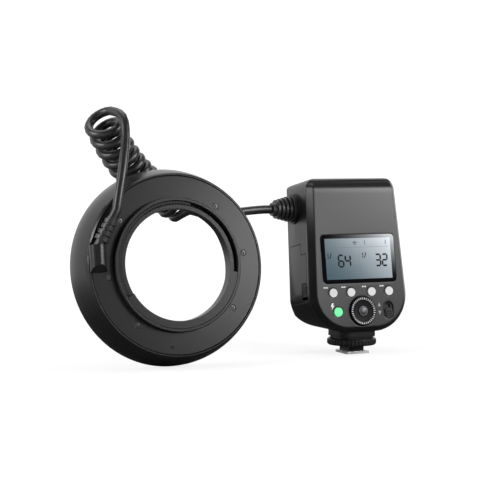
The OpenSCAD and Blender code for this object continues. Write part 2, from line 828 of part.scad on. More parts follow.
// Frosted front ring
module diffuser() {
    inner = well_r + ring_wall + fit;
    outer = ring_rim_r - ring_wall - 1.1;
    color("#eef2f4") on_ring() rotate_extrude() polygon([
        [inner, diffuser_z], [outer, diffuser_z], [outer, diffuser_z + diffuser_t],
        [inner, diffuser_z + diffuser_t]]);
}
module ring_board() {
    color(board_green) on_ring() difference() {
        rotate_extrude() translate([board_in, ring_board_z]) square([board_out - board_in, board_t]);
        cord_pocket(0.5);
    }
}
module trigger_transformer() {
    color("#54504a") on_ring() rotate([0, 0, 300])
        translate([board_in + 0.6, -trigger[1] / 2, ring_board_z + board_t]) cube(trigger);
}
module ring_screws() {
    color(metal) on_ring() ring_screw_places() {
        translate([0, 0, -1.2]) cylinder(r = 2, h = 1);
        translate([0, 0, -9]) cylinder(r = 1.1, h = 8);
    }
}
// Half-round housing of the cord's inner end, sloping down to the rear face
module cord_socket() {
    slope = 48;
    color(plastic) on_ring() difference() {
        translate([socket_x, socket_from - 5, socket_z]) rotate([-90, 0, 0])
            cylinder(r = socket_r, h = socket_to - socket_from + 5);
        translate([socket_x, socket_from, socket_z + socket_r]) rotate([slope, 0, 0])
            translate([-20, -40, 0]) cube([40, 40, 40]);
        block([-90, -20, -30], [0, 40, -4.8]);
    }
}
module ring_strain_relief() {
    step = (ring_relief_len - 4) / ring_relief_ribs;
    color(dark) on_ring() difference() {
        ring_relief_place() rotate_extrude() {
            translate([0, -relief_root]) square([ring_relief_r - 1.6, ring_relief_len + relief_root]);
            for (k = [0:ring_relief_ribs - 1])
                translate([0, relief_root + k * step]) square([ring_relief_r - 0.25 * k, step - 1.2]);
        }
        block([-90, -20, -30], [0, socket_to + fit, 40]);
    }
}

// Cord

// Points of the quadratic middle line and its direction
function coil_axis(t) = (1 - t) * (1 - t) * coil_from + 2 * t * (1 - t) * coil_bend + t * t * coil_to;
function coil_dir(t) = unit((1 - t) * (coil_bend - coil_from) + t * (coil_to - coil_bend));
function coil_side(t) = unit(cross(coil_dir(t), [0, 0, 1]));
function coil_point(t) =
    let(side = coil_side(t), down = cross(coil_dir(t), side), a = end_phase + 360 * curls * (1 - t))
    coil_axis(t) + curl_r * (cos(a) * side + sin(a) * down);
coil_count = curls * curl_rings;
coil_points = [for (k = [0:coil_count]) coil_point(k / coil_count)];
start_dir = unit(coil_points[0] - coil_points[1]);
end_dir = unit(coil_points[coil_count] - coil_points[coil_count - 1]);
coil_start = coil_points[0] + cord_d * start_dir;
coil_end = coil_points[coil_count] + cord_d * end_dir;
curly_path = concat([coil_start], coil_points, [coil_end]);

// Least gap between turns of the curly part, measured on its points
curl_gap = min([for (i = [0:coil_count], j = [i + curl_rings / 2:coil_count])
    norm(coil_points[i] - coil_points[j])]) - cord_d;
echo(least_gap_between_curls = curl_gap);

// Tips of the two boots, on the shoe's frame, with the direction that the cord leaves in
function panel_point(p) = [p[0], panel_y + p[1] * cos(panel_lean) + p[2] * sin(panel_lean),
    panel_z - p[1] * sin(panel_lean) + p[2] * cos(panel_lean)];
function ring_dir(p) = [p[0], p[1] * sin(ring_tilt) - p[2] * cos(ring_tilt),
    p[1] * cos(ring_tilt) + p[2] * sin(ring_tilt)];
controller_tip = panel_point([-top_hw - boss_proud - relief_len, relief_y, relief_z]);
boot_dir = [-sin(ring_relief_turn) * cos(ring_relief_rise),
    cos(ring_relief_turn) * cos(ring_relief_rise), sin(ring_relief_rise)];
ring_tip_dir = ring_dir(boot_dir);
ring_tip = [ring_x, ring_y, ring_z]
    + ring_dir([socket_x + 0.7, socket_to, ring_relief_z] + ring_relief_len * boot_dir);

controller_lead_path = concat([controller_tip, controller_tip + [-cord_d, 0, 0]], controller_lead_points,
    [coil_start + cord_d * start_dir, coil_start]);
ring_lead_path = concat([ring_tip, ring_tip + cord_d * ring_tip_dir], ring_lead_points,
    [coil_end + cord_d * end_dir, coil_end]);

// Smooth curve through a path's points
function between(a, b, c, d, t) = 0.5 * (2 * b + (c - a) * t + (2 * a - 5 * b + 4 * c - d) * t * t
    + (3 * b - a - 3 * c + d) * t * t * t);
function smooth(p, n) = concat(
    [p[0]],
    [for (i = [1:len(p) - 3], k = [0:n - 1]) between(p[i - 1], p[i], p[i + 1], p[i + 2], k / n)],
    [p[len(p) - 2], p[len(p) - 1]]);

// Directions along a path, and sides carried along it without twist
function along(p, i) = i == 0 ? unit(p[1] - p[0])
    : i == len(p) - 1 ? unit(p[i] - p[i - 1])
    : unit(unit(p[i + 1] - p[i]) + unit(p[i] - p[i - 1]));
function square_to(v, d) = unit(v - (v * d) * d);
function sides(p, i, v) = i == len(p) ? []
    : let(s = square_to(v, along(p, i))) concat([s], sides(p, i + 1, s));

// One tube of n sides along a path
module tube(p, d, n) {
    s = sides(p, 0, square_to([0.3, 0.2, 1], along(p, 0)));
    rings = len(p);
    points = [for (i = [0:rings - 1], k = [0:n - 1])
        let(t = along(p, i), a = 360 * k / n) p[i] + d / 2 * (cos(a) * s[i] + sin(a) * cross(t, s[i]))];
    skin = [for (i = [0:rings - 2], k = [0:n - 1], h = [0, 1])
        let(a = i * n + k, b = i * n + (k + 1) % n)
        h == 0 ? [a, a + n, b + n] : [a, b + n, b]];
    first = [for (k = [1:n - 2]) [0, k, k + 1]];
    last = [for (k = [1:n - 2]) [(rings - 1) * n, (rings - 1) * n + k + 1, (rings - 1) * n + k]];
    polyhedron(points, concat(skin, first, last));
}
module controller_lead() { color(dark) tube(smooth(controller_lead_path, lead_steps), cord_d, cord_sides); }
module curly_cord() { color(dark) tube(curly_path, cord_d, curl_sides); }
module ring_lead() { color(dark) tube(smooth(ring_lead_path, lead_steps), cord_d, cord_sides); }

rear_shell();
front_shell();
display_lens();
display_module();
keypad_board();
main_board();
flash_capacitor();
charge_transformer();
battery_bay();
battery_contacts();
port_block();
shell_screws();
controller_strain_relief();
dial_encoder();
foot_neck();
foot_base();
shoe_plate();
contact_pins();
lock_wheel();
lock_pin();
function_button_1();
function_button_2();
function_button_3();
function_button_4();
test_button();
dial();
set_button();
power_switch();
battery();
battery_latch();
port_cover();
ring_housing();
ring_rear_cover();
mount_collar();
adapter_lock_ring();
clamp_lip();
reflector();
flash_tube_left();
flash_tube_right();
focus_lamps();
diffuser();
ring_board();
trigger_transformer();
ring_screws();
cord_socket();
ring_strain_relief();
controller_lead();
curly_cord();
ring_lead();
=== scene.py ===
"""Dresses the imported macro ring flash: its finishes, cord, prints, small fasteners and studio."""

import json
import math

import bmesh
import bpy
from bpy.props import FloatProperty, FloatVectorProperty, IntProperty, PointerProperty
from mathutils import Matrix, Vector


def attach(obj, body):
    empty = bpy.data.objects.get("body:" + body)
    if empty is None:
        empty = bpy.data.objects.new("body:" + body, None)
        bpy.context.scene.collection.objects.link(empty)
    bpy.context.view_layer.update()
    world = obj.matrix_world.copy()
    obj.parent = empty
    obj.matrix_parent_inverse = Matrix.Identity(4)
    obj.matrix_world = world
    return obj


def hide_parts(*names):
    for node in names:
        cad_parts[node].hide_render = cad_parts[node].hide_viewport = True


bl_info = {
    "name": "Macro ring flash dresser",
    "version": (1, 0, 0),
    "blender": (4, 5, 0),
    "location": "View3D > Sidebar > Ring flash",
    "description": "Builds the looks of a macro ring flash on its packed frame",
    "category": "Object",
}

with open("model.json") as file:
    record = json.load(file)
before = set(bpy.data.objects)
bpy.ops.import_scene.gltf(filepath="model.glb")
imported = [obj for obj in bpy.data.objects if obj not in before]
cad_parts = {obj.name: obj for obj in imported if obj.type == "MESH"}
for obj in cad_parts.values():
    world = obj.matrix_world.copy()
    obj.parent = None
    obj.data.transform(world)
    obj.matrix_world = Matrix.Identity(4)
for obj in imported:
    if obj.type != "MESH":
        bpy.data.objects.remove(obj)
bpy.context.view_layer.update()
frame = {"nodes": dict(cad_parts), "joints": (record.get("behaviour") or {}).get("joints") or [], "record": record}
JOINTS = {j["name"]: j for j in frame["joints"]}
NODES = frame["nodes"]
BODY_OF = {n: b for b, ns in frame["record"]["behaviour"]["bodies"].items() for n in ns}
MM = 0.001
RIGHT = Vector((1, 0, 0))
QUARTER_TURN = Matrix.Rotation(math.radians(90), 4, "X")


def local_frame(origin, second, third):
    """From a local frame in millimetres, with x to the right, to the CAD's frame in metres."""
    axes = Matrix((RIGHT, second, third)).transposed()
    return Matrix.Translation(origin) @ axes.to_4x4() @ Matrix.Scale(MM, 4)


# The display side's frame: x to the right, y into the body, z up the face, from the display's middle
INWARD = Vector(JOINTS["dial_turn"]["axis"])
UPWARD = Vector(JOINTS["power_slide"]["axis"])
PANEL_ORIGIN = Vector((0, -10.7, 72.7)) * MM
PANEL = local_frame(PANEL_ORIGIN, INWARD, UPWARD)

# The ring's frame: x to the right, y up the ring, z out of its rear face, from the middle of that face
RING_ORIGIN = Vector(JOINTS["adapter_lock_turn"]["pos_m"])
REARWARD = -Vector(JOINTS["adapter_lock_turn"]["axis"])
RING = local_frame(RING_ORIGIN, REARWARD.cross(RIGHT), REARWARD)


class FlashSizes(bpy.types.PropertyGroup):
    """Sizes of the dressed details."""

    cord_diameter: FloatProperty(
        name="Cord diameter", description="Outside diameter of the cord", default=0.0065, unit="LENGTH")
    curl_radius: FloatProperty(
        name="Curl radius", description="Radius of the curls to the cord's middle",
        default=0.011, unit="LENGTH")
    curls: FloatProperty(name="Curls", description="Turns of the curly part", default=11.75)
    top_roll: FloatProperty(
        name="Top roll", description="Height of the display side's rolled upper edge",
        default=0.0131, unit="LENGTH")
    tick_count: IntProperty(name="Dial ticks", description="Grey ticks round the dial", default=36)
    edge_radius: FloatProperty(
        name="Edge radius", description="Softening of moulded edges", default=0.0005, unit="LENGTH")
    print_height: FloatProperty(
        name="Print height", description="Thickness of printed marks", default=0.00006, unit="LENGTH")


class FlashColours(bpy.types.PropertyGroup):
    """Colours of the finishes."""

    shell: FloatVectorProperty(
        name="Controller shell", description="Moulded shell of the controller",
        subtype="COLOR", size=3, default=(0.008, 0.008, 0.0088))
    ring: FloatVectorProperty(
        name="Ring shell", description="Moulded shell of the ring",
        subtype="COLOR", size=3, default=(0.010, 0.010, 0.0108))
    rubber: FloatVectorProperty(
        name="Rubber", description="Boots and cord jacket",
        subtype="COLOR", size=3, default=(0.015, 0.015, 0.0157))
    button: FloatVectorProperty(
        name="Buttons", description="Grey push buttons",
        subtype="COLOR", size=3, default=(0.58, 0.58, 0.59))
    test: FloatVectorProperty(
        name="Test button", description="Green test button",
        subtype="COLOR", size=3, default=(0.08, 0.72, 0.22))
    # The display's window is painted between these two corners; the light corner is a painted reflection
    panel_dark: FloatVectorProperty(
        name="Display, dark corner", description="Display at its lower left",
        subtype="COLOR", size=3, default=(0.075, 0.115, 0.14))
    display_painted_reflection: FloatVectorProperty(
        name="Display, light corner", description="Display at its upper right",
        subtype="COLOR", size=3, default=(0.68, 0.72, 0.76))


class Value:
    """A shader socket that takes part in Python expressions."""

    def __init__(self, graph, socket):
        self.graph = graph
        self.socket = socket

    def math(self, operation, a, b=None):
        sockets = {0: a} if b is None else {0: a, 1: b}
        return self.graph.node("ShaderNodeMath", {"operation": operation}, sockets)

    def __add__(self, other):
        return self.math("ADD", self, other)

    __radd__ = __add__

    def __sub__(self, other):
        return self.math("SUBTRACT", self, other)

    def __rsub__(self, other):
        return self.math("SUBTRACT", other, self)

    def __mul__(self, other):
        return self.math("MULTIPLY", self, other)

    __rmul__ = __mul__

    def __truediv__(self, other):
        return self.math("DIVIDE", self, other)

    def __rtruediv__(self, other):
        return self.math("DIVIDE", other, self)

    def __lt__(self, other):
        return self.math("LESS_THAN", self, other)

    def __gt__(self, other):
        return self.math("GREATER_THAN", self, other)

    def size(self):
        return self.math("ABSOLUTE", self)

    def swing(self, width):
        """A 0 to 1 value spread over a width about nought."""
        return (self - 0.5) * width

    def limited(self):
        return self.graph.node("ShaderNodeClamp", {}, {"Value": self})


class Graph:
    """A shader's node tree under construction."""

    def __init__(self, tree):
        self.tree = tree

    def node(self, kind, settings, sockets, output=0):
        """Adds a node: its settings first, then the values or links of its sockets."""
        node = self.tree.nodes.new(kind)
        for key, value in settings.items():
            setattr(node, key, value)
        for key, value in sockets.items():
            if isinstance(value, Value):
                self.tree.links.new(value.socket, node.inputs[key])
            else:
                node.inputs[key].default_value = value
        return Value(self, node.outputs[output])

    def ray(self, kind):
        """1 for rays of a kind and 0 for others."""
        return self.node("ShaderNodeLightPath", {}, {}, kind)


NOISE_ROUGHNESS = 0.55
BEVEL_SAMPLES = 6
# The places of a Mix node's colour sockets
MIX_FACTOR, MIX_A, MIX_B = 0, 6, 7
MIX_RESULT = 2


class Finish(Graph):
    """A material under construction, with one Principled shader."""

    def __init__(self, name, **constants):
        self.material = bpy.data.materials.new(name)
        self.material.use_nodes = True
        super().__init__(self.material.node_tree)
        self.shader = self.tree.nodes["Principled BSDF"]
        for socket, value in constants.items():
            self.shader.inputs[socket.replace("_", " ")].default_value = value

    def place(self):
        return self.node("ShaderNodeTexCoord", {}, {}, "Object")

    def vector(self, operation, a, b=None, output="Value"):
        sockets = {0: a} if b is None else {0: a, 1: tuple(b)}
        return self.node("ShaderNodeVectorMath", {"operation": operation}, sockets, output)

    def offset(self, origin):
        return self.vector("SUBTRACT", self.place(), origin, "Vector")

    def along(self, direction, origin=(0, 0, 0)):
        """Distance from an origin along a direction, in metres."""
        return self.vector("DOT_PRODUCT", self.offset(origin), direction)

    def away(self, origin=(0, 0, 0)):
        """Distance from an origin, in metres."""
        return self.vector("LENGTH", self.offset(origin))

    def noise(self, scale, detail=3.0):
        sockets = {"Vector": self.place(), "Scale": scale, "Detail": detail, "Roughness": NOISE_ROUGHNESS}
        return self.node("ShaderNodeTexNoise", {}, sockets, "Fac")

    def mix(self, factor, a, b):
        """A colour between two others."""
        a, b = (c if isinstance(c, Value) else tuple(c)[:3] + (1.0,) for c in (a, b))
        sockets = {MIX_FACTOR: factor, MIX_A: a, MIX_B: b}
        return self.node("ShaderNodeMix", {"data_type": "RGBA"}, sockets, MIX_RESULT)

    def tinted(self, factor, colour, low, high):
        """A colour that varies from low to high times itself."""
        return self.mix(factor, shade(colour, low), shade(colour, high))

    def bump(self, height, strength, distance, radius=None):
        """A normal raised by a height, over edges that are softened to a radius."""
        sockets = {"Height": height, "Strength": strength, "Distance": distance}
        if radius:
            settings = {"samples": BEVEL_SAMPLES}
            sockets["Normal"] = self.node("ShaderNodeBevel", settings, {"Radius": radius}, "Normal")
        return self.node("ShaderNodeBump", {}, sockets, "Normal")

    def wave(self, distance, pitch):
        """A 0 to 1 wave over a distance."""
        turn = distance * (2 * math.pi / pitch)
        return turn.math("SINE", turn) * 0.5 + 0.5

    def set(self, **links):
        for socket, value in links.items():
            self.tree.links.new(value.socket, self.shader.inputs[socket.replace("_", " ")])
        return self.material


# Patterns of the finishes, in patches to a metre
GRAIN_SCALE = 2600.0
RING_GRAIN_SCALE = 2200.0
RIM_GRAIN_SCALE = 2000.0
BUTTON_GRAIN_SCALE = 1800.0
HANDLING_SCALE = 38.0
STREAK_SCALE = 210.0
DUST_SCALE = 90.0
PORE_SCALE = 3400.0
BRUSH_SCALE = 2400.0
BRUSH_RUN_SCALE = 40.0
STAIN_SCALE = 160.0
TRACK_SCALE = 260.0
PAD_SCALE = 330.0
GRIME_SCALE = 120.0
SMEAR_SCALE = 140.0
FROST_SCALE = 60.0
GLOW_SCALE = 700.0
MOTTLE_SCALE = 55.0
INK_SCALE = 900.0

# Heights, pitches and edge radii in the finishes, in metres
GRAIN_HEIGHT = 0.00012
FINE_HEIGHT = 0.0001
BAND_HEIGHT = 0.0002
PRISM_HEIGHT = 0.0003
PRISM_PITCH = 0.0016
SLEEVE_PITCH = 0.011
WIRE_PITCH = 0.0006
SHELL_EDGE = 0.0016
SOFT_EDGE = 0.0004
FINE_EDGE = 0.0003

# The controller's top face, up the display side from the display's middle, and the blend to it, in metres
TOP_FACE = 0.0621
TOP_BLEND = 0.0004
# Half the size of the display's window
WINDOW_HALF_W = 28.1 * MM
WINDOW_HALF_H = 15.5 * MM

MASK_GREEN = (0.015, 0.11, 0.05)
TRACK_GREEN = (0.03, 0.2, 0.09)
SOLDER_PAD = (0.75, 0.7, 0.55)
PAD_RADIUS = 0.16
FROST_DIM = (0.78, 0.80, 0.81)
FROST_BRIGHT = (0.88, 0.90, 0.91)
GLOW_DIM = (0.10, 0.75, 0.25)
GLOW_BRIGHT = (0.22, 0.95, 0.38)
# The display frame's own black, and the grey of a painted reflection towards its upper right
FRAME_DARK = (0.004, 0.004, 0.005)
FRAME_PAINTED_REFLECTION = (0.34, 0.36, 0.38)
DARK_METAL = (0.10, 0.10, 0.105)

SIDEWAYS = (1, 0, 0)
LENGTHWISE = (0, 1, 0)
UPRIGHT = (0, 0, 1)


def shade(colour, factor):
    """A colour made lighter or darker, and white at most."""
    return tuple(min(1.0, c * factor) for c in colour)


def moulded(name, colour, rough, depth, edge, grain=GRAIN_SCALE, wear=0.5, gloss=0.5, dull_top=0.0):
    """Moulded plastic with a fine grain and handling marks, duller on the controller's top."""
    finish = Finish(name, IOR=1.48, Specular_IOR_Level=gloss)
    grains = finish.noise(grain, 2.0)
    cloud = finish.noise(HANDLING_SCALE, 4.0)
    streak = finish.noise(STREAK_SCALE)
    tint = finish.tinted(grains, colour, 0.94, 1.06)
    tint = finish.mix((cloud - 0.45).limited() * wear, tint, shade(colour, 1.7))
    dullness = cloud.swing(0.025) + streak.swing(0.015) + rough
    if dull_top:
        rise = (finish.along(UPWARD, PANEL_ORIGIN) - TOP_FACE) / TOP_BLEND
        dullness = dullness + rise.limited() * dull_top
    normal = finish.bump(grains, depth, GRAIN_HEIGHT, edge)
    return finish.set(Base_Color=tint, Roughness=dullness, Normal=normal)


def rubbery(name, colour, rough, gloss=0.5):
    """Soft jacket or boot, dull with dusty patches."""
    finish = Finish(name, IOR=1.5, Specular_IOR_Level=gloss)
    dust = finish.noise(DUST_SCALE, 5.0)
    pores = finish.noise(PORE_SCALE, 2.0)
    tint = finish.mix((dust - 0.5).limited() * 0.8, colour, shade(colour, 2.4))
    normal = finish.bump(pores, 0.18, FINE_HEIGHT, SOFT_EDGE)
    return finish.set(Base_Color=tint, Roughness=rough + dust.swing(0.12), Normal=normal)


def metal(name, colour, rough, direction, plating=1.0):
    """Plated or brushed metal with fine lines along a direction."""
    finish = Finish(name, Metallic=plating)
    scale = tuple(BRUSH_RUN_SCALE if abs(d) > 0.5 else BRUSH_SCALE for d in direction)
    brushed = finish.node("ShaderNodeMapping", {}, {"Vector": finish.place(), "Scale": scale}, "Vector")
    lines = finish.node("ShaderNodeTexNoise", {}, {"Vector": brushed, "Scale": 1.0, "Detail": 3.0}, "Fac")
    stain = finish.noise(STAIN_SCALE, 4.0)
    return finish.set(
        Base_Color=finish.tinted(stain, colour, 0.82, 1.08),
        Roughness=rough + lines.swing(0.2) + stain.swing(0.1),
        Normal=finish.bump(lines, 0.08, FINE_HEIGHT, FINE_EDGE))


def board(name):
    """Circuit board: green mask over copper tracks, with bright pads."""
    finish = Finish(name, IOR=1.5)
    black, white = (0, 0, 0, 1), (1, 1, 1, 1)
    tracks = finish.node("ShaderNodeTexBrick", {"offset": 0.37, "squash": 1.4}, {
        "Vector": finish.place(), "Scale": TRACK_SCALE, "Mortar Size": 0.06,
        "Color1": black, "Color2": black, "Mortar": white}, "Fac")
    sockets = {"Vector": finish.place(), "Scale": PAD_SCALE}
    pads = finish.node("ShaderNodeTexVoronoi", {}, sockets, "Distance") < PAD_RADIUS
    tint = finish.mix(tracks, MASK_GREEN, TRACK_GREEN)
    return finish.set(
        Base_Color=finish.mix(pads, tint, SOLDER_PAD), Roughness=0.32 + pads * 0.2,
        Normal=finish.bump(tracks, 0.2, FINE_HEIGHT))


def banded(name, colour, other, pitch):
    """Wound or ribbed surface in bands set one above another."""
    finish = Finish(name, IOR=1.5)
    wave = finish.wave(finish.along(UPRIGHT), pitch)
    grime = finish.noise(GRIME_SCALE, 4.0)
    return finish.set(
        Base_Color=finish.mix(wave, colour, other), Roughness=0.35 + grime.swing(0.2),
        Normal=finish.bump(wave, 0.4, BAND_HEIGHT))


def clear_glass(name):
    """Tube glass with faint smears."""
    finish = Finish(name, IOR=1.46, Transmission_Weight=1.0)
    return finish.set(Roughness=0.03 + finish.noise(SMEAR_SCALE) * 0.06)


def frosted(name):
    """Milky front ring with fine concentric prisms."""
    finish = Finish(name, IOR=1.49, Transmission_Weight=0.35)
    prisms = finish.wave(finish.away(RING_ORIGIN), PRISM_PITCH)
    cloud = finish.noise(FROST_SCALE)
    return finish.set(
        Base_Color=finish.mix(cloud, FROST_DIM, FROST_BRIGHT), Roughness=0.34 + cloud.swing(0.1),
        Normal=finish.bump(prisms, 0.35, PRISM_HEIGHT))


def lit_button(name, colour):
    """Translucent button with a lamp behind it, faintly cloudy."""
    finish = Finish(name, IOR=1.5, Emission_Strength=0.55)
    cloud = finish.noise(GLOW_SCALE)
    return finish.set(
        Base_Color=finish.tinted(cloud, colour, 0.85, 1.15),
        Emission_Color=finish.mix(cloud, GLOW_DIM, GLOW_BRIGHT),
        Roughness=0.3 + cloud * 0.12, Normal=finish.bump(cloud, 0.05, FINE_HEIGHT, SOFT_EDGE))


def display_face(name, colours):
    """Dark-framed lens whose window shows a liquid crystal panel, with a painted reflection that makes window and
    frame lighter to the upper right.
    """
    finish = Finish(name, IOR=1.5, Coat_Roughness=0.12, Specular_IOR_Level=0.0)
    x = finish.along(RIGHT) / WINDOW_HALF_W
    z = finish.along(UPWARD, PANEL_ORIGIN) / WINDOW_HALF_H
    inside = (x.size() < 1.0) * (z.size() < 1.0)
    mottle = finish.noise(MOTTLE_SCALE, 2.0)
    # Painted reflection: the window goes from dark at the lower left to light at the upper right
    rise = (x * 0.31 + z * 0.19 + 0.5 + mottle.swing(0.06)).limited()
    glow_and_painted_reflection = finish.mix(rise * rise, colours.panel_dark, colours.display_painted_reflection)
    # Painted reflection: the black frame turns grey towards its upper right; the same corner weights the coat
    corner = ((x + 1.0) * (z + 1.0) * 0.25).limited()
    painted_frame_reflection = finish.mix(corner * corner, FRAME_DARK, FRAME_PAINTED_REFLECTION)
    return finish.set(
        Base_Color=finish.mix(inside, painted_frame_reflection, glow_and_painted_reflection),
        Roughness=0.18 + inside * 0.16 + mottle.swing(0.06),
        Coat_Weight=corner * (1.0 - inside * 0.8))


def printed(name, colour, rough=0.5, gloss=0.5):
    """Pad-printed ink, also the grey of the dial ticks' painted highlight."""
    finish = Finish(name, IOR=1.5, Specular_IOR_Level=gloss)
    worn = finish.noise(INK_SCALE)
    return finish.set(Base_Color=finish.tinted(worn, colour, 0.86, 1.05), Roughness=rough + worn.swing(0.15))


FINISHES = {}


def make_finishes(context):
    """All materials, named for the finishes of this object."""
    colours = context.scene.flash_colours
    edge = context.scene.flash_sizes.edge_radius
    case, wall, seat = shade(colours.shell, 0.8), shade(colours.ring, 0.75), shade(colours.ring, 0.8)
    boot, jacket = shade(colours.rubber, 1.5), shade(colours.rubber, 0.9)
    FINISHES.update({
        "shell": moulded(
            "controller_shell_plastic", colours.shell, 0.295, 0.02, SHELL_EDGE, wear=0.1, dull_top=0.34),
        "side": moulded("controller_case_plastic", case, 0.36, 0.05, edge, wear=0.1, dull_top=0.30),
        "ring": moulded("ring_plate_plastic", colours.ring, 0.298, 0.03, edge, RING_GRAIN_SCALE, 0.1),
        "rim": moulded("ring_wall_plastic", wall, 0.292, 0.02, edge, RIM_GRAIN_SCALE, 0.1),
        "collar": moulded("collar_plastic", seat, 0.36, 0.2, SOFT_EDGE),
        "trim": moulded("trim_plastic", (0.011, 0.011, 0.012), 0.48, 0.2, FINE_EDGE, gloss=0.3),
        "dial": moulded("dial_plastic", (0.006, 0.006, 0.007), 0.48, 0.1, FINE_EDGE, gloss=0.1),
        "rubber": rubbery("boot_rubber", boot, 0.38, 0.55),
        "cord": rubbery("cord_jacket", jacket, 0.34),
        "button": moulded(
            "button_plastic", colours.button, 0.42, 0.06, SOFT_EDGE, BUTTON_GRAIN_SCALE, 0.15),
        "test": lit_button("test_button_green", colours.test),
        "set": metal("set_button_metal", DARK_METAL, 0.34, SIDEWAYS),
        "plated": metal("shoe_plating", (0.85, 0.85, 0.86), 0.26, LENGTHWISE, 0.4),
        "steel": metal("screw_steel", DARK_METAL, 0.38, SIDEWAYS),
        "brass": metal("contact_gold", (0.83, 0.62, 0.28), 0.25, UPRIGHT),
        "display": display_face("display_lens_face", colours),
        "panel": printed("display_panel_grey", (0.40, 0.47, 0.53), 0.3),
        "board": board("circuit_board"),
        "can": banded("capacitor_sleeve", (0.03, 0.035, 0.05), (0.05, 0.055, 0.075), SLEEVE_PITCH),
        "winding": banded("wound_copper", (0.30, 0.13, 0.05), (0.55, 0.27, 0.10), WIRE_PITCH),
        "bright": metal("reflector_bright", (0.86, 0.87, 0.88), 0.16, LENGTHWISE),
        "glass": clear_glass("tube_quartz"),
        "lamp": printed("lamp_lens", (0.92, 0.90, 0.78), 0.2),
        "frost": frosted("front_diffuser"),
        "white": printed("white_print", (0.80, 0.80, 0.80)),
        "grey": printed("grey_print", (0.34, 0.34, 0.35)),
        "segment": printed("display_segment", (0.008, 0.011, 0.016), 0.45, 0.05),
        "faint": printed("display_faint_line", (0.13, 0.16, 0.19), 0.45, 0.05),
        # The dial's ticks are grey as a painted highlight on the teeth of the dial's rim
        "tick_painted_highlight": printed("dial_tick_painted_highlight", (0.80, 0.80, 0.81), 0.5, 0.1),
        "hub": metal("hub_metal", DARK_METAL, 0.45, SIDEWAYS),
    })


CAD_FINISH = {
    "rear_shell": "shell", "front_shell": "side", "battery": "side", "battery_latch": "trim",
    "foot_neck": "side", "lock_wheel": "side", "foot_base": "trim", "shoe_plate": "plated",
    "contact_pins": "brass", "lock_pin": "plated", "controller_strain_relief": "rubber",
    "port_cover": "rubber", "port_block": "trim", "power_switch": "trim", "dial": "dial",
    "set_button": "set", "test_button": "test", "function_button_1": "button",
    "function_button_2": "button", "function_button_3": "button", "function_button_4": "button",
    "display_lens": "display", "display_module": "panel", "keypad_board": "board", "main_board": "board",
    "flash_capacitor": "can", "charge_transformer": "winding", "battery_bay": "trim",
    "battery_contacts": "brass", "shell_screws": "steel", "dial_encoder": "trim", "ring_housing": "rim",
    "ring_rear_cover": "ring", "mount_collar": "collar", "adapter_lock_ring": "trim",
    "clamp_lip": "collar", "reflector": "bright", "flash_tube_left": "glass", "flash_tube_right": "glass",
    "focus_lamps": "lamp", "diffuser": "frost", "ring_board": "board", "trigger_transformer": "winding",
    "ring_screws": "steel", "cord_socket": "ring", "ring_strain_relief": "rubber",
}
SMOOTHED = (
    "rear_shell", "front_shell", "battery", "foot_neck", "lock_wheel", "controller_strain_relief",
    "port_cover", "dial", "set_button", "test_button", "function_button_1", "function_button_2",
    "function_button_3", "function_button_4", "ring_housing", "ring_rear_cover", "mount_collar",
    "adapter_lock_ring", "clamp_lip", "cord_socket", "ring_strain_relief", "diffuser", "reflector",
    "flash_tube_left", "flash_tube_right", "power_switch")

# Edges sharper than these, in degrees, stay sharp
CAD_SMOOTH = 28.0
PIECE_SMOOTH = 35.0
DOME_SMOOTH = 60.0
# Points closer than these, in metres, are one
CAD_MERGE = 2e-6
PIECE_MERGE = 1e-7


def coat(mesh, finish):
    mesh.materials.clear()
    mesh.materials.append(FINISHES[finish])


def add_piece(name, mesh, finish, body, replaces=()):
    """Links a mesh as a piece that rides on a body, coated unless its finish is None."""
    if finish:
        coat(mesh, finish)
    piece = bpy.data.objects.new(name, mesh)
    bpy.context.scene.collection.objects.link(piece)
    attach(piece, body)
    if replaces:
        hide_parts(*replaces)


def shade_round(mesh, degrees):
    mesh.shade_smooth()
    mesh.set_sharp_from_angle(angle=math.radians(degrees))


def solid_mesh(name, points, faces, matrix, degrees=PIECE_SMOOTH):
    """A mesh from points in a local frame, set in the CAD's frame with its normals outwards."""
    mesh = bpy.data.meshes.new(name)
    mesh.from_pydata([matrix @ Vector(p) for p in points], [], faces)
    work = bmesh.new()
    work.from_mesh(mesh)
    bmesh.ops.remove_doubles(work, verts=work.verts, dist=PIECE_MERGE)
    bmesh.ops.recalc_face_normals(work, faces=work.faces)
    work.to_mesh(mesh)
    work.free()
    shade_round(mesh, degrees)
    return mesh


def smoothed_copy(node):
    """A merged copy of a CAD node with its curved faces shaded smooth."""
    mesh = NODES[node].data.copy()
    mesh.name = node + "_smooth"
    custom = mesh.attributes.get("custom_normal")
    if custom:
        mesh.attributes.remove(custom)
    work = bmesh.new()
    work.from_mesh(mesh)
    bmesh.ops.remove_doubles(work, verts=work.verts, dist=CAD_MERGE)
    work.to_mesh(mesh)
    work.free()
    shade_round(mesh, CAD_SMOOTH)
    return mesh


# The display side's upper edge in the panel's frame, in millimetres
SHELL_TOP = 62.6
SHELL_BEVEL = 4.1
SHELL_BEVEL_DEPTH = 5.0
SHELL_SEAM = 7.0
ROLL_DEPTH = 6.6
ROLL_STEPS = 10


